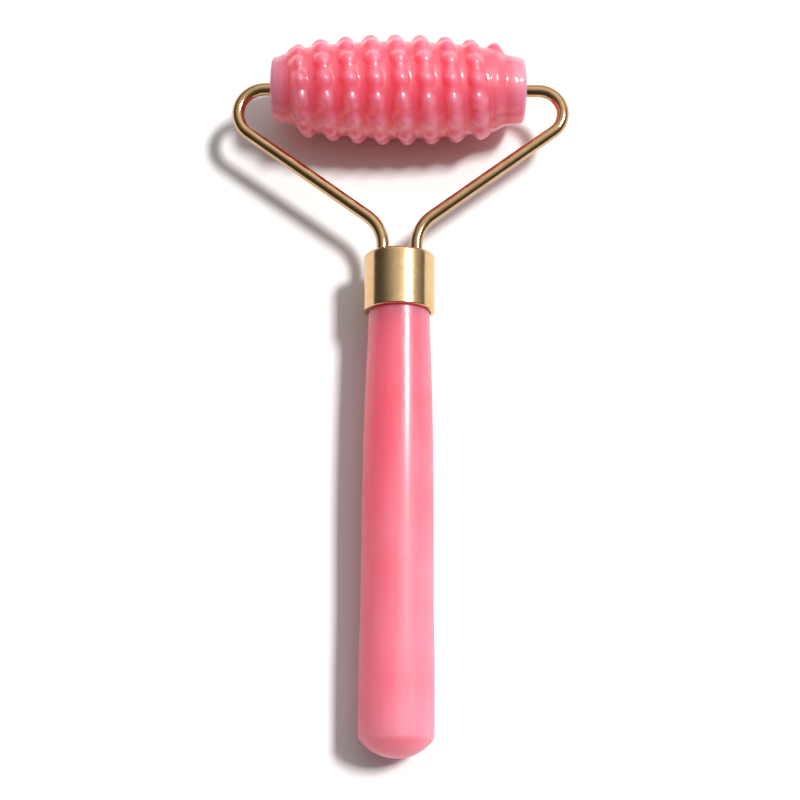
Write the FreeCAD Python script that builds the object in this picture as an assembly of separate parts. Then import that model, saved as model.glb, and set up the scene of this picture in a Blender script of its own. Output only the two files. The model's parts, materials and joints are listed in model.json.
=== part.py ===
import FreeCAD, Part
import math
import os

# Facial massage roller: a round resin handle, a brass ferrule, two bent brass
# arms and a knobbed resin roller that turns freely on the arms' inner ends.
#
# Everything is first made in the tool's own frame, in millimetres: Y runs along
# the handle from its domed end (Y = 0), X runs along the roller's axis and Z is
# square to both. Then the whole tool is laid on a table: it rests on the rim of
# the handle's end and on the roller's knobs, which tips it up a little.

V = FreeCAD.Vector
X_AXIS = V(1, 0, 0)
Y_AXIS = V(0, 1, 0)
SIDES = {"left": -1, "right": 1}

# Overall
OVERALL_LENGTH = 150.0
AXLE_Y = 138.44

# Handle
HANDLE_END_RADIUS = 7.4
HANDLE_DOME_HEIGHT = 3.8
HANDLE_RIM_ROUND = 1.5
HANDLE_STRAIGHT_LENGTH = 12.0
HANDLE_LENGTH = 89.2
HANDLE_WAIST = [(28.0, 7.21), (45.0, 7.18), (58.0, 7.09), (70.0, 6.86), (80.0, 6.56), (HANDLE_LENGTH, 6.27)]
HANDLE_NECK_SLOPE = -0.036
TENON_RADIUS = 6.05
TENON_LENGTH = 5.4
TENON_CHAMFER = 0.4

# Ferrule
FERRULE_RADIUS = 7.29
FERRULE_LENGTH = 12.1
FERRULE_WALL = 0.75
FERRULE_TOP_THICKNESS = 1.2
FERRULE_TOP_ROUND = 0.7
FERRULE_LIP_ROUND = 0.25

# Arms: one length of round wire each
WIRE_RADIUS = 1.3
WIRE_END_CHAMFER = 0.25
ARM_SPACING = 3.46
ARM_CORNER_Y = 107.7
ARM_BEND_RADIUS = 8.0
ARM_REACH = 35.55
LOOP_RADIUS = {"left": 5.6, "right": 5.15}
AXLE_END_X = 17.5

# Anchor plug, solder and epoxy inside the ferrule
PLUG_THICKNESS = 3.8
FOOT_LENGTH = 0.5
SOLDER_RADIUS = 2.25
SOLDER_TOE_RADIUS = 1.5
EPOXY_RECESS = 0.6

# Roller
ROLLER_LENGTH = 54.5
ROLLER_FLOAT = -0.5
BARREL_HALF_LENGTH = 21.9
BARREL_RADIUS = 10.0
BARREL_END_RADIUS = 8.25
BOSS_START = (22.6, 7.5)
BOSS_END = (25.5, 6.8)
BOSS_CORNER_MID = (26.25, 6.55)
BOSS_CORNER_END = (26.7, 5.95)
KNOB_TIP_RADIUS = 11.56
KNOB_TIP_DROP = 0.0040
KNOB_FILL = 0.44
KNOBS_PER_TURN = 14
KNOB_COUNT = 113
KNOB_PITCH = 5.3
FIRST_KNOB_X = -21.92
ROW_FROM_TABLE = 180.0 / KNOBS_PER_TURN
ROWS_TO_FIRST_KNOB = 10

# Flanged bushes in the roller's ends
RUNNING_CLEARANCE = 0.05
BUSH_RADIUS = 2.1
BUSH_LENGTH = 9.8
FLANGE_RADIUS = 2.8
FLANGE_THICKNESS = 0.8
FLANGE_RECESS = 1.2
COUNTERBORE_GAP = 0.1
SOCKET_SPARE = 0.8
DRILL_POINT = 0.9

FERRULE_TOP = HANDLE_LENGTH + FERRULE_LENGTH
CAVITY_RADIUS = FERRULE_RADIUS - FERRULE_WALL
CAVITY_TOP = FERRULE_TOP - FERRULE_TOP_THICKNESS
PLUG_BOTTOM = CAVITY_TOP - PLUG_THICKNESS
TENON_TOP = HANDLE_LENGTH + TENON_LENGTH
BUSH_FACE_X = ROLLER_LENGTH / 2 - FLANGE_RECESS
BUSH_BORE_RADIUS = WIRE_RADIUS + RUNNING_CLEARANCE
DOME_RADIUS = (HANDLE_END_RADIUS ** 2 + HANDLE_DOME_HEIGHT ** 2) / (2 * HANDLE_DOME_HEIGHT)
DOME_ANGLE = math.asin(HANDLE_END_RADIUS / DOME_RADIUS)
RIM_Y = HANDLE_DOME_HEIGHT + HANDLE_RIM_ROUND * math.tan((math.pi / 2 - DOME_ANGLE) / 2)


def barrel_radius(x):
    """Radius of the barrel between the knobs, on the arc that crowns it."""
    sagitta = BARREL_RADIUS - BARREL_END_RADIUS
    crown = (BARREL_HALF_LENGTH ** 2 + sagitta ** 2) / (2 * sagitta)
    return BARREL_RADIUS - crown + math.sqrt(crown ** 2 - x ** 2)


def knob_tip_radius(x):
    """The knobs' tips lie on a slightly crowned barrel."""
    return KNOB_TIP_RADIUS - KNOB_TIP_DROP * x * x


def knob_radius(x):
    """A knob's sphere stands out of the barrel on a circle that leaves a gap to its neighbours."""
    height = knob_tip_radius(x) - barrel_radius(x)
    base = KNOB_FILL * 2 * math.pi * barrel_radius(x) / KNOBS_PER_TURN
    return (base ** 2 + height ** 2) / (2 * height)


def rest_tilt():
    """Angle in radians by which the tool's frame tips up when it lies on a table, on two rows of knobs."""
    knob_centre = KNOB_TIP_RADIUS - knob_radius(0)
    roller_low = knob_centre * math.cos(math.radians(ROW_FROM_TABLE)) + knob_radius(0)
    run = AXLE_Y - RIM_Y
    return math.asin(roller_low / math.hypot(run, HANDLE_END_RADIUS)) - math.atan(HANDLE_END_RADIUS / run)


TILT = rest_tilt()
TABLE_DROP = HANDLE_END_RADIUS * math.cos(TILT) - RIM_Y * math.sin(TILT)


def lay_on_table(shape):
    """Tip a finished shape from the tool's frame onto the table, centred over the origin."""
    placed = shape.copy()
    placed.rotate(V(0, 0, 0), X_AXIS, math.degrees(TILT))
    placed.translate(V(0, -OVERALL_LENGTH / 2, TABLE_DROP))
    return placed


def rest_point(x, y, z):
    """Where a point of the tool's frame lies once the tool is on the table."""
    return V(x, y * math.cos(TILT) - z * math.sin(TILT) - OVERALL_LENGTH / 2,
             y * math.sin(TILT) + z * math.cos(TILT) + TABLE_DROP)


def line(a, b):
    return Part.LineSegment(V(*a), V(*b)).toShape()


def arc(a, middle, b):
    return Part.Arc(V(*a), V(*middle), V(*b)).toShape()


def revolve(edges, axis):
    """Solid of revolution of a closed outline about an axis through the origin."""
    return Part.Face(Part.Wire(edges)).revolve(V(0, 0, 0), axis, 360)


def cylinder_y(radius, low, high, x=0.0):
    return Part.makeCylinder(radius, high - low, V(x, low, 0), Y_AXIS)


def make_handle():
    """Domed rod: a short straight stretch at the end, a long waist, and a tenon for the ferrule."""
    straight_end = RIM_Y + HANDLE_STRAIGHT_LENGTH
    half = DOME_ANGLE / 2
    dome_middle = (DOME_RADIUS * math.sin(half), DOME_RADIUS * (1 - math.cos(half)), 0)
    rim = (HANDLE_END_RADIUS, HANDLE_DOME_HEIGHT, 0)
    waist = Part.BSplineCurve()
    waist_points = [V(HANDLE_END_RADIUS, straight_end, 0)] + [V(r, y, 0) for y, r in HANDLE_WAIST]
    waist.interpolate(Points=waist_points, InitialTangent=V(0, 1, 0), FinalTangent=V(HANDLE_NECK_SLOPE, 1, 0))
    neck = HANDLE_WAIST[-1][1]
    edges = [
        arc((0, 0, 0), dome_middle, rim),
        line(rim, (HANDLE_END_RADIUS, straight_end, 0)),
        waist.toShape(),
        line((neck, HANDLE_LENGTH, 0), (TENON_RADIUS, HANDLE_LENGTH, 0)),
        line((TENON_RADIUS, HANDLE_LENGTH, 0), (TENON_RADIUS, TENON_TOP - TENON_CHAMFER, 0)),
        line((TENON_RADIUS, TENON_TOP - TENON_CHAMFER, 0), (TENON_RADIUS - TENON_CHAMFER, TENON_TOP, 0)),
        line((TENON_RADIUS - TENON_CHAMFER, TENON_TOP, 0), (0, TENON_TOP, 0)),
        line((0, TENON_TOP, 0), (0, 0, 0)),
    ]
    rod = revolve(edges, Y_AXIS)
    rim_edges = [e for e in rod.Edges if e.Closed and abs(e.CenterOfMass.y - HANDLE_DOME_HEIGHT) < 0.01]
    return rod.makeFillet(HANDLE_RIM_ROUND, rim_edges)


def make_ferrule():
    """Drawn brass cap, open towards the handle, with two wire holes in its closed top."""
    body = cylinder_y(FERRULE_RADIUS, HANDLE_LENGTH, FERRULE_TOP)
    top_edge = [e for e in body.Edges if e.Closed and e.CenterOfMass.y > FERRULE_TOP - 0.01]
    body = body.makeFillet(FERRULE_TOP_ROUND, top_edge)
    lip_edge = [e for e in body.Edges if e.Closed and e.CenterOfMass.y < HANDLE_LENGTH + 0.01]
    body = body.makeFillet(FERRULE_LIP_ROUND, lip_edge)
    body = body.cut(cylinder_y(CAVITY_RADIUS, HANDLE_LENGTH - 1, CAVITY_TOP))
    for side in SIDES.values():
        body = body.cut(cylinder_y(WIRE_RADIUS, CAVITY_TOP - 1, FERRULE_TOP + 1, side * ARM_SPACING))
    return body


def make_anchor_plug():
    """Brass slug pressed into the top of the ferrule, drilled for the two wires."""
    plug = cylinder_y(CAVITY_RADIUS, PLUG_BOTTOM, CAVITY_TOP)
    for side in SIDES.values():
        plug = plug.cut(cylinder_y(WIRE_RADIUS, PLUG_BOTTOM - 1, CAVITY_TOP + 1, side * ARM_SPACING))
    return plug


def foot_cone(side):
    """The cone that the solder fills round a wire's foot, under the plug."""
    foot = V(side * ARM_SPACING, PLUG_BOTTOM - FOOT_LENGTH, 0)
    return Part.makeCone(SOLDER_TOE_RADIUS, SOLDER_RADIUS, FOOT_LENGTH, foot, Y_AXIS)


def make_solder():
    """A collar of solder round each wire's foot."""
    collars = []
    for side in SIDES.values():
        wire = cylinder_y(WIRE_RADIUS, PLUG_BOTTOM - 1, PLUG_BOTTOM + 1, side * ARM_SPACING)
        collars.append(foot_cone(side).cut(wire))
    return Part.makeCompound(collars)


def make_epoxy():
    """Epoxy that fills the ferrule round the tenon and over the wires' feet."""
    fill = cylinder_y(CAVITY_RADIUS, HANDLE_LENGTH + EPOXY_RECESS, PLUG_BOTTOM)
    fill = fill.cut(make_handle())
    for side in SIDES.values():
        fill = fill.cut(foot_cone(side))
    return fill


def arm_path(name):
    """Centreline of one arm: out of the plug, one bend, a straight run, a loop, and the axle."""
    side = SIDES[name]
    loop = LOOP_RADIUS[name]
    loop_x = ARM_REACH - WIRE_RADIUS - loop
    loop_y = AXLE_Y - loop
    dx = loop_x - ARM_SPACING
    dy = loop_y - ARM_CORNER_Y
    slope = math.atan2(dy, dx) - math.asin(loop / math.hypot(dx, dy))
    turn = math.pi / 2 - slope
    tangent = ARM_BEND_RADIUS * math.tan(turn / 2)
    bend_y = ARM_CORNER_Y - tangent
    centre_x = ARM_SPACING + ARM_BEND_RADIUS

    def on_bend(angle):
        return (side * (centre_x - ARM_BEND_RADIUS * math.cos(angle)),
                bend_y + ARM_BEND_RADIUS * math.sin(angle), 0)

    def on_loop(angle):
        return (side * (loop_x + loop * math.cos(angle)), loop_y + loop * math.sin(angle), 0)

    loop_start = slope - math.pi / 2
    loop_middle = (loop_start + math.pi / 2) / 2
    foot = (side * ARM_SPACING, PLUG_BOTTOM - FOOT_LENGTH, 0)
    axle_end = (side * AXLE_END_X, AXLE_Y, 0)
    edges = [
        line(foot, on_bend(0)),
        arc(on_bend(0), on_bend(turn / 2), on_bend(turn)),
        line(on_bend(turn), on_loop(loop_start)),
        arc(on_loop(loop_start), on_loop(loop_middle), on_loop(math.pi / 2)),
        line(on_loop(math.pi / 2), axle_end),
    ]
    return Part.Wire(edges)


def make_arm(name):
    """One arm: round wire swept along its path, with a chamfered inner end."""
    path = arm_path(name)
    foot = path.Edges[0].Vertexes[0].Point
    section = Part.Wire(Part.Circle(foot, Y_AXIS, WIRE_RADIUS).toShape())
    arm = path.makePipeShell([section], True, True)
    end_x = SIDES[name] * AXLE_END_X
    end_edges = [e for e in arm.Edges if e.Closed and abs(e.CenterOfMass.x - end_x) < 0.01
                 and abs(e.CenterOfMass.y - AXLE_Y) < 0.01]
    return arm.makeChamfer(WIRE_END_CHAMFER, end_edges)


def make_knobs():
    """Round knobs along one right-handed helix, in rows that run parallel to the axis."""
    step = 360.0 / KNOBS_PER_TURN
    first_angle = 270.0 - math.degrees(TILT) + ROW_FROM_TABLE - ROWS_TO_FIRST_KNOB * step
    knobs = []
    for index in range(KNOB_COUNT):
        x = FIRST_KNOB_X + KNOB_PITCH * index / KNOBS_PER_TURN
        angle = math.radians(first_angle + index * step)
        radius = knob_radius(x)
        reach = knob_tip_radius(x) - radius
        centre = V(x, reach * math.cos(angle), reach * math.sin(angle))
        knobs.append(Part.makeSphere(radius, centre))
    return knobs


def make_roller_core():
    """Barrel with a tapered boss and a shallow dome at each end."""
    end = ROLLER_LENGTH / 2
    dome_middle = (end - (end - BOSS_CORNER_END[0]) / 4, BOSS_CORNER_END[1] / 2)
    edges = [arc((-BARREL_HALF_LENGTH, BARREL_END_RADIUS, 0), (0, BARREL_RADIUS, 0),
                 (BARREL_HALF_LENGTH, BARREL_END_RADIUS, 0))]
    for side in (1, -1):
        def at(point):
            return (side * point[0], point[1], 0)
        edges.append(line(at((BARREL_HALF_LENGTH, BARREL_END_RADIUS)), at(BOSS_START)))
        edges.append(line(at(BOSS_START), at(BOSS_END)))
        edges.append(arc(at(BOSS_END), at(BOSS_CORNER_MID), at(BOSS_CORNER_END)))
        edges.append(arc(at(BOSS_CORNER_END), at(dome_middle), at((end, 0))))
    edges.append(line((-end, 0, 0), (end, 0, 0)))
    return revolve(Part.__sortEdges__(edges), X_AXIS)


def make_socket(side):
    """The stepped blind hole in one end of the roller that takes a flanged bush."""
    inward = V(-side, 0, 0)
    mouth = V(side * (ROLLER_LENGTH / 2 + 1), 0, 0)
    seat_x = BUSH_FACE_X - FLANGE_THICKNESS
    depth = BUSH_LENGTH + SOCKET_SPARE
    counterbore = Part.makeCylinder(FLANGE_RADIUS + COUNTERBORE_GAP,
                                    ROLLER_LENGTH / 2 + 1 - seat_x, mouth, inward)
    hole = Part.makeCylinder(BUSH_RADIUS, depth, V(side * BUSH_FACE_X, 0, 0), inward)
    point = Part.makeCone(BUSH_RADIUS, 0, DRILL_POINT, V(side * (BUSH_FACE_X - depth), 0, 0), inward)
    return counterbore.fuse([hole, point])


def make_roller():
    body = make_roller_core().fuse(make_knobs())
    for side in SIDES.values():
        body = body.cut(make_socket(side))
    return to_axle(body)


def make_bush(name):
    """Flanged plain bush: its bore runs on the arm's end."""
    side = SIDES[name]
    inward = V(-side, 0, 0)
    face = V(side * BUSH_FACE_X, 0, 0)
    bush = Part.makeCylinder(FLANGE_RADIUS, FLANGE_THICKNESS, face, inward)
    bush = bush.fuse(Part.makeCylinder(BUSH_RADIUS, BUSH_LENGTH, face, inward))
    bore_mouth = V(side * (BUSH_FACE_X + 1), 0, 0)
    bush = bush.cut(Part.makeCylinder(BUSH_BORE_RADIUS, BUSH_LENGTH + 2, bore_mouth, inward))
    return to_axle(bush.removeSplitter())


def to_axle(shape):
    """Move a shape made about the X axis to the roller's place in the tool."""
    moved = shape.copy()
    moved.translate(V(ROLLER_FLOAT, AXLE_Y, 0))
    return moved


PIECES = {
    "handle": make_handle,
    "ferrule": make_ferrule,
    "anchor_plug": make_anchor_plug,
    "arm_solder": make_solder,
    "ferrule_epoxy": make_epoxy,
    "left_arm": lambda: make_arm("left"),
    "right_arm": lambda: make_arm("right"),
    "roller": make_roller,
    "left_bush": lambda: make_bush("left"),
    "right_bush": lambda: make_bush("right"),
}


def main():
    os.makedirs("parts", exist_ok=True)
    for name, make in PIECES.items():
        shape = lay_on_table(make())
        box = shape.BoundBox
        print(f"{name}: volume {shape.Volume:.2f} mm3, valid {shape.isValid()}, solids {len(shape.Solids)}, "
              f"z {box.ZMin:.3f} to {box.ZMax:.3f}")
        shape.exportStep(f"parts/{name}.step")
    axle = rest_point(0, AXLE_Y, 0)
    print(f"tilt {math.degrees(TILT):.4f} deg, axle at y {axle.y:.4f}, z {axle.z:.4f}")
    grip = rest_point(0, RIM_Y + HANDLE_STRAIGHT_LENGTH / 2, 0)
    print(f"handle end mount at y {grip.y:.4f}, z {grip.z:.4f}")


main()
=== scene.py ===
import json
import math

import bpy
import numpy as np
from mathutils import Matrix, Vector


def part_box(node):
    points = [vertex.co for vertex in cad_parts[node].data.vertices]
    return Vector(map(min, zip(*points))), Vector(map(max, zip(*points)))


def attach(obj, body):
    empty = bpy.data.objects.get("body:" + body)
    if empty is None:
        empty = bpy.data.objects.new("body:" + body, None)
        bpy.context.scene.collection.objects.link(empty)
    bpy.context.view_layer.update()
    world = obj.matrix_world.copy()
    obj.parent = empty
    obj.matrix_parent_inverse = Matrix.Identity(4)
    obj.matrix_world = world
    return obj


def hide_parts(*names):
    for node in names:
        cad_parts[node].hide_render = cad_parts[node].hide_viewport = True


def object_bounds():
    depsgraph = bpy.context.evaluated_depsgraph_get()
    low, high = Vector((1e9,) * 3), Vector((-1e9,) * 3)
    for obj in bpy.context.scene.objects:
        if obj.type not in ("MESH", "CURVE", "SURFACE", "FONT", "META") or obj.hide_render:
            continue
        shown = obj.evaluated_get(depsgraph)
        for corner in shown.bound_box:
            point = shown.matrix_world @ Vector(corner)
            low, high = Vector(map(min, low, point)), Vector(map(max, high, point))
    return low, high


# Looks of a facial massage roller: a pink resin handle and knobbed roller on a brass frame,
# lying on a pale table. All lengths are in metres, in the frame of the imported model.

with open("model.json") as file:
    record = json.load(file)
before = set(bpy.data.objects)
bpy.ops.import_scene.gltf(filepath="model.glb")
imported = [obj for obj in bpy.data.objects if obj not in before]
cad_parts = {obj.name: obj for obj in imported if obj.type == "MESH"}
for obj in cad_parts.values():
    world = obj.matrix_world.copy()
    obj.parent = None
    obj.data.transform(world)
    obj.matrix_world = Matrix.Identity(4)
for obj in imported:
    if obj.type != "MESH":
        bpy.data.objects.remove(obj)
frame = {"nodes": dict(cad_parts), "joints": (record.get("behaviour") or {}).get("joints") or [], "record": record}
cad_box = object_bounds()

MM = 0.001
X_AXIS = Vector((1, 0, 0))
Y_AXIS = Vector((0, 1, 0))

JOINT = frame["joints"][0]
MOUNTS = {mount["name"]: mount for mount in frame["record"]["mounts"]}
AXLE = Vector(JOINT["pos_m"])
ALONG = -Vector(MOUNTS["handle_end"]["axis"]).normalized()

# Roller: smooth body
BARREL_HALF_LENGTH = 21.9 * MM
BARREL_RADIUS = 10.0 * MM
BARREL_END_RADIUS = 8.25 * MM
SHOULDER_X = 20.4 * MM
NECK_X = 22.9 * MM
NECK_RADIUS = 7.35 * MM
BOSS_END_X = 25.5 * MM
BOSS_END_RADIUS = 6.85 * MM
BOSS_NECK_SLOPE = math.radians(2)
BOSS_END_SLOPE = math.radians(22)
CORNER_END_X = 26.7 * MM
CORNER_END_RADIUS = 5.95 * MM
MOUTH_ROUND = 0.15 * MM
HALF_LENGTH = 27.25 * MM
SAGITTA = BARREL_RADIUS - BARREL_END_RADIUS
BARREL_CROWN = (BARREL_HALF_LENGTH ** 2 + SAGITTA ** 2) / (2 * SAGITTA)

# Roller: knobs on a helical ridge. The tips' radius falls by KNOB_TIP_DROP times x squared.
# RIDGE_SHARE and the blends are shares of a knob's height, and RIDGE_RUNOUT is in knobs.
KNOB_TIP_RADIUS = 11.56 * MM
KNOB_TIP_DROP = 4.0
KNOBS_PER_TURN = 14
KNOB_COUNT = 113
KNOB_PITCH = 5.3 * MM
FIRST_KNOB_X = -21.92 * MM
ROW_FROM_TABLE = math.pi / KNOBS_PER_TURN
ROWS_TO_FIRST_KNOB = 10
KNOB_HALF_WIDTH = 1.95 * MM
KNOB_HALF_SPAN = 2.15 * MM
KNOB_FULLNESS = 0.82
RIDGE_HALF_WIDTH = 2.5 * MM
RIDGE_SHARE = 0.63
RIDGE_BLEND = 0.32
RIDGE_RUNOUT = 0.75
VALLEY_BLEND = 0.12

# Roller: sockets for the bushes
SOCKET_MOUTH_RADIUS = 2.9 * MM
SOCKET_RADIUS = 2.1 * MM
SOCKET_SEAT_DEPTH = 2.0 * MM
SOCKET_DEPTH = 11.0 * MM

# Roller: mesh density
POINTS_ROUND = 300
BARREL_RINGS = 216
SHOULDER_RINGS = 12
BOSS_RINGS = 10
CORNER_RINGS = 8
FACE_RINGS = 10
MOUTH_RINGS = 3

# Handle: how cloudy it is, and the stretch beside its dome that is polished
HANDLE_CLOUDS = 0.6
DOME_GLOSS_START = 4.5 * MM
DOME_GLOSS_END = 7.0 * MM

# Camera: looks down along the handle, from a little beyond its end
CAMERA_ELEVATION = math.radians(74.45)
CAMERA_DISTANCE = 0.3292
CAMERA_AIM_OFFSET = Vector((0.3, -3.8, -3.5)) * MM
CAMERA_ROLL = math.radians(0.4)
CAMERA_LENS = 73.0
SENSOR_WIDTH = 36.0

# Floor and light
FLOOR_SIZE = 30.0
KEY_DIRECTION = Vector((0.56, 0.26, 1.0))
KEY_HEIGHT = 25.0
KEY_SIZE = (4.0, 6.2)
KEY_RADIANCE = 112.0
GLOW_DIRECTION = Vector((0.31, 0.75, 1.0))
GLOW_STRENGTH = 1.05
GLOW_FALL = 3.5
GLOW_FLOOR = 0.07
LAMP_COLOR = (1.0, 0.99, 0.975)
STUDIO_COLOR = (1.0, 0.99, 0.98, 1)
BACKDROP_COLOR = (0.96, 0.96, 0.96, 1)

# Material colours: the darker and the lighter tone of each
# The roller's lighter tone also makes the painted light on its knobs and ends. Its darker tone makes the painted
# shade between the knobs.
ROLLER_TONES = ((0.955, 0.115, 0.18), (0.97, 0.30, 0.41))
HANDLE_TONES = ((0.955, 0.12, 0.18), (0.965, 0.29, 0.385))
SATIN_BRASS_TONES = ((0.74, 0.48, 0.23), (0.84, 0.58, 0.31))
POLISHED_BRASS_TONES = ((0.55, 0.34, 0.165), (0.68, 0.45, 0.235))
NYLON_TONES = ((0.78, 0.76, 0.72), (0.88, 0.87, 0.84))
SOLDER_TONES = ((0.42, 0.42, 0.42), (0.62, 0.62, 0.61))
EPOXY_TONES = ((0.62, 0.50, 0.30), (0.74, 0.64, 0.44))
TABLE_TONES = ((0.90, 0.90, 0.90), (0.92, 0.92, 0.92))
GRAIN_STOPS = (0.3, 0.7)
RESIN_STOPS = (0.15, 0.85)

# How far red, green and blue light travel inside each resin, in units of REACH_UNIT
REACH_UNIT = 1.0 * MM
ROLLER_REACH = (24.0, 4.5, 5.2)
HANDLE_REACH = (24.0, 3.2, 3.8)

# Textures: how fine each noise is, in waves per metre, and how high its bumps are
CLOUD_SCALE = 70.0
GLOSS_SCALE = 60.0
PATCH_SCALE = 45.0
STREAK_SCALE = 900.0
STREAK_STRETCH = (1.0, 0.06, 1.0)
WAVE_SCALE = 220.0
WAVE_HEIGHT = 0.02 * MM
PORE_SCALE = 2500.0
PORE_HEIGHT = 0.004 * MM
TARNISH_SCALE = 300.0
BRASS_GRAIN_SCALE = 900.0
BRASS_GRAIN_HEIGHT = 0.004 * MM


def link(obj):
    bpy.context.scene.collection.objects.link(obj)
    return obj


def aim(obj, position, target, up):
    """Put an object at a position with its -Z towards the target and its Y near the up direction."""
    back = (position - target).normalized()
    right = up.cross(back).normalized()
    top = back.cross(right)
    turn = Matrix((right, top, back)).transposed().to_4x4()
    obj.matrix_world = Matrix.Translation(position) @ turn


# ---------------------------------------------------------------- camera and light

def make_camera():
    data = bpy.data.cameras.new("photo_camera")
    data.lens = CAMERA_LENS
    data.sensor_width = SENSOR_WIDTH
    data.clip_start = 0.01
    data.clip_end = 50.0
    camera = link(bpy.data.objects.new("photo_camera", data))
    target = (cad_box[0] + cad_box[1]) / 2 + CAMERA_AIM_OFFSET
    back = Vector((0, -math.cos(CAMERA_ELEVATION), math.sin(CAMERA_ELEVATION)))
    aim(camera, target + back * CAMERA_DISTANCE, target, Y_AXIS)
    camera.matrix_world = camera.matrix_world @ Matrix.Rotation(CAMERA_ROLL, 4, "Z")
    bpy.context.scene.camera = camera


def make_area_light(name, position, size, radiance, color):
    data = bpy.data.lights.new(name, "AREA")
    data.shape = "RECTANGLE"
    data.size = size[0]
    data.size_y = size[1]
    data.energy = radiance * math.pi * size[0] * size[1]
    data.color = color
    light = link(bpy.data.objects.new(name, data))
    aim(light, position, Vector((0, 0, 0)), Y_AXIS)


def make_world():
    """A dim studio with one soft glow round the lamp; the camera sees a pale backdrop instead."""
    world = bpy.data.worlds.new("studio")
    bpy.context.scene.world = world
    world.use_nodes = True
    nodes = world.node_tree.nodes
    links = world.node_tree.links
    nodes.clear()

    def math_node(operation, value, *numbers):
        node = nodes.new("ShaderNodeMath")
        node.operation = operation
        links.new(value, node.inputs[0])
        for socket, number in zip(node.inputs[1:], numbers):
            socket.default_value = number
        return node.outputs[0]

    coordinates = nodes.new("ShaderNodeTexCoord")
    towards = nodes.new("ShaderNodeVectorMath")
    towards.operation = "DOT_PRODUCT"
    towards.inputs[1].default_value = GLOW_DIRECTION.normalized()
    links.new(coordinates.outputs["Generated"], towards.inputs[0])
    lobe = math_node("POWER", math_node("MAXIMUM", towards.outputs["Value"], 0.0), GLOW_FALL)
    studio = nodes.new("ShaderNodeBackground")
    studio.inputs["Color"].default_value = STUDIO_COLOR
    links.new(math_node("MULTIPLY_ADD", lobe, GLOW_STRENGTH, GLOW_FLOOR), studio.inputs["Strength"])
    backdrop = nodes.new("ShaderNodeBackground")
    backdrop.inputs["Color"].default_value = BACKDROP_COLOR
    path = nodes.new("ShaderNodeLightPath")
    mix = nodes.new("ShaderNodeMixShader")
    links.new(path.outputs["Is Camera Ray"], mix.inputs[0])
    links.new(studio.outputs[0], mix.inputs[1])
    links.new(backdrop.outputs[0], mix.inputs[2])
    output = nodes.new("ShaderNodeOutputWorld")
    links.new(mix.outputs[0], output.inputs["Surface"])


# ---------------------------------------------------------------- materials

class Nodes:
    """A material's node tree, with short calls for the nodes used here."""

    def __init__(self, name):
        self.material = bpy.data.materials.new(name)
        self.material.use_nodes = True
        self.tree = self.material.node_tree
        self.shader = self.tree.nodes["Principled BSDF"]
        coordinates = self.tree.nodes.new("ShaderNodeTexCoord")
        self.place = coordinates.outputs["Object"]

    def join(self, output, target):
        self.tree.links.new(output, target)

    def stretch(self, scale):
        """The object's coordinates, scaled along each axis."""
        node = self.tree.nodes.new("ShaderNodeMapping")
        node.inputs["Scale"].default_value = scale
        self.join(self.place, node.inputs["Vector"])
        return node.outputs["Vector"]

    def noise(self, scale, detail=2.0, rough=0.5, distortion=0.0, vector=None):
        node = self.tree.nodes.new("ShaderNodeTexNoise")
        node.inputs["Scale"].default_value = scale
        node.inputs["Detail"].default_value = detail
        node.inputs["Roughness"].default_value = rough
        node.inputs["Distortion"].default_value = distortion
        self.join(vector or self.place, node.inputs["Vector"])
        return node.outputs["Fac"]

    def remap(self, value, low, high, to_low, to_high):
        """A value that eases from to_low to to_high as the input goes from low to high."""
        node = self.tree.nodes.new("ShaderNodeMapRange")
        node.interpolation_type = "SMOOTHSTEP"
        node.inputs["From Min"].default_value = low
        node.inputs["From Max"].default_value = high
        node.inputs["To Min"].default_value = to_low
        node.inputs["To Max"].default_value = to_high
        self.join(value, node.inputs["Value"])
        return node.outputs["Result"]

    def along(self, axis):
        """The object coordinate along X, Y or Z."""
        node = self.tree.nodes.new("ShaderNodeSeparateXYZ")
        self.join(self.place, node.inputs[0])
        return node.outputs[axis]

    def distance_from_x(self):
        """Distance from the object's X axis."""
        flatten = self.tree.nodes.new("ShaderNodeVectorMath")
        flatten.operation = "MULTIPLY"
        flatten.inputs[1].default_value = (0, 1, 1)
        self.join(self.place, flatten.inputs[0])
        length = self.tree.nodes.new("ShaderNodeVectorMath")
        length.operation = "LENGTH"
        self.join(flatten.outputs["Vector"], length.inputs[0])
        return length.outputs["Value"]

    def calculate(self, operation, *values):
        """A math node whose inputs are sockets or numbers."""
        node = self.tree.nodes.new("ShaderNodeMath")
        node.operation = operation
        for socket, value in zip(node.inputs, values):
            if isinstance(value, float):
                socket.default_value = value
            else:
                self.join(value, socket)
        return node.outputs[0]

    def ramp(self, value, tones, stops=GRAIN_STOPS):
        """A colour that runs from the first tone to the second as the value passes the stops."""
        node = self.tree.nodes.new("ShaderNodeValToRGB")
        elements = node.color_ramp.elements
        for element, position, color in zip(elements, stops, tones):
            element.position = position
            element.color = (*color, 1)
        self.join(value, node.inputs["Fac"])
        return node.outputs["Color"]

    def bump(self, height, distance, strength, normal=None):
        node = self.tree.nodes.new("ShaderNodeBump")
        node.inputs["Strength"].default_value = strength
        node.inputs["Distance"].default_value = distance
        self.join(height, node.inputs["Height"])
        if normal is not None:
            self.join(normal, node.inputs["Normal"])
        return node.outputs["Normal"]

    def set(self, **values):
        """Set the shader's sockets, named with underscores for their spaces."""
        for name, value in values.items():
            self.shader.inputs[name.replace("_", " ")].default_value = value


def resin(name, reach):
    """Cast resin, milky and translucent inside. Returns its nodes, still without colour, gloss or coat."""
    m = Nodes(name)
    m.clouds = m.noise(CLOUD_SCALE, rough=0.45)
    m.set(Subsurface_Weight=1.0, Subsurface_Scale=REACH_UNIT, Subsurface_Radius=reach, IOR=1.5, Coat_IOR=1.5)
    waves = m.bump(m.noise(WAVE_SCALE), WAVE_HEIGHT, 0.5)
    m.join(m.bump(m.noise(PORE_SCALE), PORE_HEIGHT, 0.4, waves), m.shader.inputs["Normal"])
    return m


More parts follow.
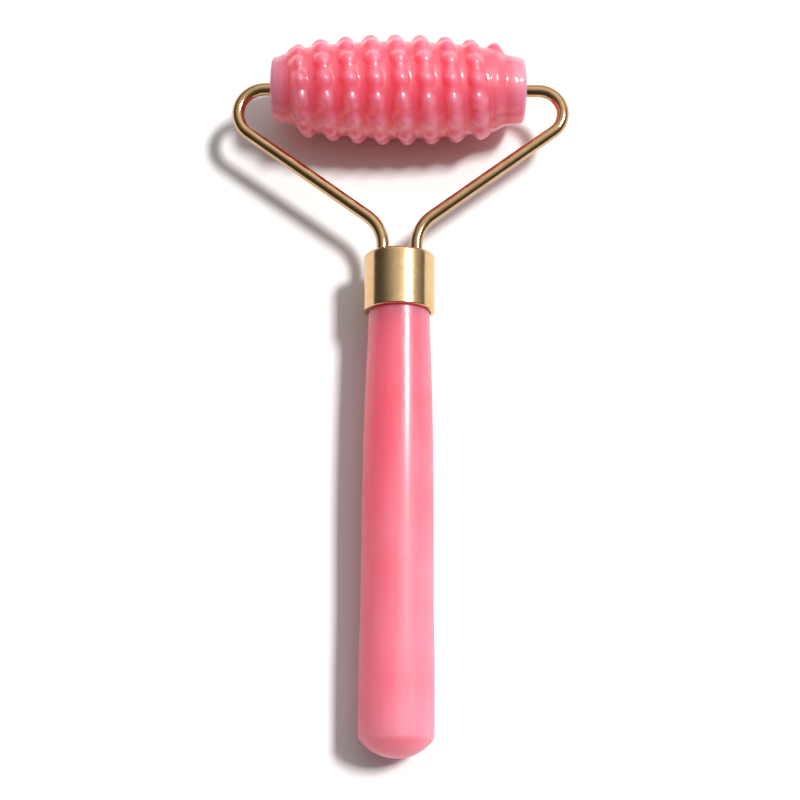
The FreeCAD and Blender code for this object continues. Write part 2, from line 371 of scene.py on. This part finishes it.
def roller_resin():
    """The roller's resin, polished. It has painted shade, deep between the knobs, and painted light, paler on them
    and towards both ends.
    """
    m = resin("resin_roller", ROLLER_REACH)
    bulge = SAGITTA / BARREL_HALF_LENGTH ** 2
    along = m.along("X")
    level = m.calculate("MULTIPLY_ADD", m.calculate("MULTIPLY", along, along), bulge, m.distance_from_x())
    # Painted light and shade: paler on the knob tips, as light passing through them, and deeper between them, as
    # shade in the valleys.
    knobs = m.remap(level, BARREL_RADIUS, KNOB_TIP_RADIUS, -0.10, 0.16)
    # Painted light: the resin grows paler towards both ends, lifting the shade on the bosses and end faces.
    ends = m.remap(m.calculate("ABSOLUTE", along), NECK_X, BOSS_END_X, 0.0, 0.36)
    tone = m.calculate("ADD", m.calculate("ADD", knobs, ends), m.calculate("MULTIPLY", m.clouds, 0.5))
    m.join(m.ramp(tone, ROLLER_TONES, RESIN_STOPS), m.shader.inputs["Base Color"])
    m.join(m.remap(m.noise(GLOSS_SCALE), *GRAIN_STOPS, 0.42, 0.50), m.shader.inputs["Roughness"])
    m.set(Coat_Weight=0.85, Coat_Roughness=0.055)
    return m.material


def handle_resin():
    """The handle's resin: deeper and glossier towards the ferrule, paler and hazier at its end."""
    m = resin("resin_handle", HANDLE_REACH)
    lo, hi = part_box("handle")
    middle = (lo.y + hi.y) / 2
    along = m.along("Y")
    streaks = m.noise(STREAK_SCALE, vector=m.stretch(STREAK_STRETCH))
    deepening = m.remap(along, lo.y, hi.y, 0.18, -0.14)
    shift = m.calculate("ADD", m.calculate("MULTIPLY", streaks, 0.25), deepening)
    tone = m.calculate("MULTIPLY_ADD", m.clouds, HANDLE_CLOUDS, shift)
    m.join(m.ramp(tone, HANDLE_TONES, RESIN_STOPS), m.shader.inputs["Base Color"])
    haze = m.remap(along, lo.y, hi.y, 0.60, 0.36)
    patches = m.remap(m.noise(PATCH_SCALE), *GRAIN_STOPS, -0.02, 0.03)
    m.join(m.calculate("ADD", haze, patches), m.shader.inputs["Roughness"])
    ferrule_gloss = m.remap(along, middle, hi.y, 0.04, 0.50)
    end_gloss = m.remap(along, lo.y + DOME_GLOSS_START, lo.y + DOME_GLOSS_END, 0.40, 0.0)
    m.join(m.calculate("ADD", ferrule_gloss, end_gloss), m.shader.inputs["Coat Weight"])
    m.set(Coat_Roughness=0.18)
    return m.material


def brass(name, tones, rough_low, rough_high, grain_strength):
    """Gilt brass with faint tarnish, fine grain and slightly uneven gloss."""
    m = Nodes(name)
    tarnish = m.noise(TARNISH_SCALE, detail=4.0, rough=0.6, distortion=0.3)
    m.join(m.ramp(tarnish, tones), m.shader.inputs["Base Color"])
    m.set(Metallic=1.0)
    grain = m.noise(BRASS_GRAIN_SCALE, detail=3.0, rough=0.6)
    m.join(m.remap(grain, *GRAIN_STOPS, rough_low, rough_high), m.shader.inputs["Roughness"])
    m.join(m.bump(grain, BRASS_GRAIN_HEIGHT, grain_strength), m.shader.inputs["Normal"])
    return m.material


def nylon():
    """White moulded nylon, slightly translucent."""
    m = Nodes("nylon_bush")
    grain = m.noise(1500.0, detail=3.0)
    m.join(m.ramp(grain, NYLON_TONES), m.shader.inputs["Base Color"])
    m.set(Roughness=0.45, IOR=1.53, Subsurface_Weight=0.3, Subsurface_Scale=0.5 * MM)
    m.join(m.bump(grain, 0.006 * MM, 0.4), m.shader.inputs["Normal"])
    return m.material


def solder():
    """Dull grey soft solder."""
    m = Nodes("soft_solder")
    grain = m.noise(2000.0, detail=4.0)
    m.join(m.ramp(grain, SOLDER_TONES), m.shader.inputs["Base Color"])
    m.set(Metallic=1.0, Roughness=0.35)
    m.join(m.bump(grain, 0.02 * MM, 0.5), m.shader.inputs["Normal"])
    return m.material


def epoxy():
    """Clear amber casting epoxy, a little hazy."""
    m = Nodes("cast_epoxy")
    haze = m.noise(700.0, detail=3.0)
    m.join(m.ramp(haze, EPOXY_TONES), m.shader.inputs["Base Color"])
    m.set(Roughness=0.2, IOR=1.55, Subsurface_Weight=0.4, Subsurface_Scale=0.6 * MM)
    m.join(m.bump(haze, 0.01 * MM, 0.3), m.shader.inputs["Normal"])
    return m.material


def floor_paint():
    """Matt white paint."""
    m = Nodes("pale_table")
    m.join(m.ramp(m.noise(4.0, detail=3.0), TABLE_TONES), m.shader.inputs["Base Color"])
    m.set(Roughness=0.75, IOR=1.4)
    m.join(m.bump(m.noise(900.0), 0.01 * MM, 0.2), m.shader.inputs["Normal"])
    return m.material


# ---------------------------------------------------------------- roller

def smooth_step(value, low, high):
    """0 below low, 1 above high, and an even S between them."""
    share = np.clip((value - low) / (high - low), 0, 1)
    return share * share * (3 - 2 * share)


def smooth_max(a, b, blend):
    """The larger of two heights, with the crease between them rounded over."""
    share = np.clip(0.5 + 0.5 * (a - b) / blend, 0, 1)
    return b + (a - b) * share + blend * share * (1 - share)


def barrel_radius(x):
    """Radius of the barrel between the knobs, on the arc that crowns it."""
    return BARREL_RADIUS - BARREL_CROWN + np.sqrt(BARREL_CROWN ** 2 - x ** 2)


def knob_height(x, angle, first_angle):
    """Height over the barrel of a ridge that winds round it and swells into knobs."""
    turns = (angle - first_angle) / (2 * math.pi)
    across = (x - FIRST_KNOB_X) / KNOB_PITCH - turns
    turn = np.round(across)
    index = (turn + turns) * KNOBS_PER_TURN
    last = KNOB_COUNT - 1
    inside = smooth_step(index, -RIDGE_RUNOUT, 0.0) * (1 - smooth_step(index, last, last + RIDGE_RUNOUT))
    across = (across - turn) * KNOB_PITCH
    steps = turns * KNOBS_PER_TURN
    around = (steps - np.round(steps)) * 2 * math.pi * barrel_radius(x) / KNOBS_PER_TURN
    ridge = RIDGE_SHARE * (1 - smooth_step(np.abs(across), 0.0, RIDGE_HALF_WIDTH))
    reach = np.sqrt((across / KNOB_HALF_WIDTH) ** 2 + (around / KNOB_HALF_SPAN) ** 2)
    knob = np.clip(1 - reach ** 2, 0, 1) ** KNOB_FULLNESS
    full = KNOB_TIP_RADIUS - KNOB_TIP_DROP * x * x - barrel_radius(x)
    bumps = smooth_max(ridge, knob, RIDGE_BLEND)
    return full * inside * smooth_max(bumps, np.zeros_like(x), VALLEY_BLEND)


def bend(start, start_slope, end, end_slope, count):
    """Points (x, r) on a cubic between two points, with a given slope at each; without the first."""
    span = end[0] - start[0]
    points = []
    for i in range(1, count + 1):
        t = i / count
        h00 = 2 * t ** 3 - 3 * t ** 2 + 1
        h10 = t ** 3 - 2 * t ** 2 + t
        h01 = 3 * t ** 2 - 2 * t ** 3
        h11 = t ** 3 - t ** 2
        radius = h00 * start[1] + h10 * span * start_slope + h01 * end[1] + h11 * span * end_slope
        points.append((start[0] + span * t, radius))
    return points


def end_outline():
    """Half outline from the shoulder over the boss, the corner, the domed face and into the socket."""
    shoulder = (SHOULDER_X, float(barrel_radius(SHOULDER_X)))
    neck = (NECK_X, NECK_RADIUS)
    boss_end = (BOSS_END_X, BOSS_END_RADIUS)
    neck_slope = -math.tan(BOSS_NECK_SLOPE)
    points = bend(shoulder, -SHOULDER_X / BARREL_CROWN, neck, neck_slope, SHOULDER_RINGS)
    points += bend(neck, neck_slope, boss_end, -math.tan(BOSS_END_SLOPE), BOSS_RINGS)
    corner_x = CORNER_END_X - BOSS_END_X
    corner_r = BOSS_END_RADIUS - CORNER_END_RADIUS
    for i in range(1, CORNER_RINGS + 1):
        angle = math.pi / 2 * i / CORNER_RINGS
        radius = CORNER_END_RADIUS + corner_r * math.cos(angle)
        points.append((BOSS_END_X + corner_x * math.sin(angle), radius))
    mouth_r = SOCKET_MOUTH_RADIUS + MOUTH_ROUND
    for i in range(1, FACE_RINGS + 1):
        radius = CORNER_END_RADIUS + (mouth_r - CORNER_END_RADIUS) * i / FACE_RINGS
        bulge = 1 - (radius / CORNER_END_RADIUS) ** 2
        points.append((CORNER_END_X + (HALF_LENGTH - CORNER_END_X) * bulge, radius))
    face_x = points[-1][0]
    for i in range(1, MOUTH_RINGS + 1):
        angle = math.pi / 2 * i / MOUTH_RINGS
        x = face_x - MOUTH_ROUND * (1 - math.cos(angle))
        points.append((x, mouth_r - MOUTH_ROUND * math.sin(angle)))
    seat_x = HALF_LENGTH - SOCKET_SEAT_DEPTH
    floor_x = HALF_LENGTH - SOCKET_DEPTH
    points += [(face_x - 3 * MOUTH_ROUND, SOCKET_MOUTH_RADIUS), (seat_x, SOCKET_MOUTH_RADIUS)]
    points += [(seat_x, SOCKET_RADIUS), (floor_x, SOCKET_RADIUS), (floor_x, 0)]
    return points


def roller_rings():
    """Rings of points round the axis, from the left socket's floor over the outside to the right one's."""
    tilt = math.atan2(ALONG.z, ALONG.y)
    step = 2 * math.pi / KNOBS_PER_TURN
    straight_down = 1.5 * math.pi - tilt
    first_angle = straight_down + ROW_FROM_TABLE - ROWS_TO_FIRST_KNOB * step
    end = end_outline()
    middle = [(x, float(barrel_radius(x))) for x in np.linspace(-SHOULDER_X, SHOULDER_X, BARREL_RINGS)]
    outline = [(-x, r) for x, r in reversed(end)] + middle + end
    angles = np.arange(POINTS_ROUND) * 2 * math.pi / POINTS_ROUND
    rings = []
    for x, radius in outline:
        along = np.full_like(angles, x)
        if abs(x) < NECK_X + KNOB_HALF_WIDTH and radius > BOSS_END_RADIUS:
            radius = radius + knob_height(along, angles, first_angle)
        radius = np.broadcast_to(radius, angles.shape)
        rings.append(np.stack([along, radius * np.cos(angles), radius * np.sin(angles)], axis=1))
    return rings


def skin(rings):
    """Vertices and faces of a closed mesh over the rings. The first and last ring are single points."""
    ends = [rings[0][0], rings[-1][0]]
    rings = rings[1:-1]
    vertices = np.concatenate(rings + [np.array(ends)])
    faces = []
    for ring in range(len(rings) - 1):
        for i in range(POINTS_ROUND):
            j = (i + 1) % POINTS_ROUND
            a = ring * POINTS_ROUND
            b = a + POINTS_ROUND
            faces.append((a + i, a + j, b + j, b + i))
    first = len(rings) * POINTS_ROUND
    last_ring = first - POINTS_ROUND
    for i in range(POINTS_ROUND):
        j = (i + 1) % POINTS_ROUND
        faces.append((first, j, i))
        faces.append((first + 1, last_ring + i, last_ring + j))
    return vertices.tolist(), faces


def make_roller(material):
    """The visual roller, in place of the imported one."""
    vertices, faces = skin(roller_rings())
    mesh = bpy.data.meshes.new("resin_roller")
    mesh.from_pydata(vertices, [], faces)
    mesh.materials.append(material)
    mesh.shade_smooth()
    roller = link(bpy.data.objects.new("resin_roller", mesh))
    turn = Matrix((X_AXIS, ALONG, X_AXIS.cross(ALONG))).transposed().to_4x4()
    lo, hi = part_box("roller")
    roller.matrix_world = Matrix.Translation(Vector(((lo.x + hi.x) / 2, AXLE.y, AXLE.z))) @ turn
    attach(roller, "roller")
    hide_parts("roller")


def make_floor():
    bpy.ops.mesh.primitive_plane_add(size=FLOOR_SIZE)
    floor = bpy.context.object
    floor.name = "table_top"
    floor.data.materials.append(floor_paint())


def dress(node, material):
    """Give a CAD node its material."""
    mesh = frame["nodes"][node].data
    mesh.materials.clear()
    mesh.materials.append(material)


def main():
    make_camera()
    make_world()
    make_area_light("softbox", KEY_DIRECTION * KEY_HEIGHT, KEY_SIZE, KEY_RADIANCE, LAMP_COLOR)
    make_floor()
    satin = brass("satin_brass", SATIN_BRASS_TONES, 0.16, 0.21, 0.012)
    polished = brass("polished_brass", POLISHED_BRASS_TONES, 0.07, 0.12, 0.04)
    dress("handle", handle_resin())
    dress("ferrule", satin)
    dress("anchor_plug", satin)
    dress("left_arm", polished)
    dress("right_arm", polished)
    dress("arm_solder", solder())
    dress("ferrule_epoxy", epoxy())
    nylon_bush = nylon()
    dress("left_bush", nylon_bush)
    dress("right_bush", nylon_bush)
    make_roller(roller_resin())
    bpy.context.scene.view_settings.view_transform = "Standard"


main()
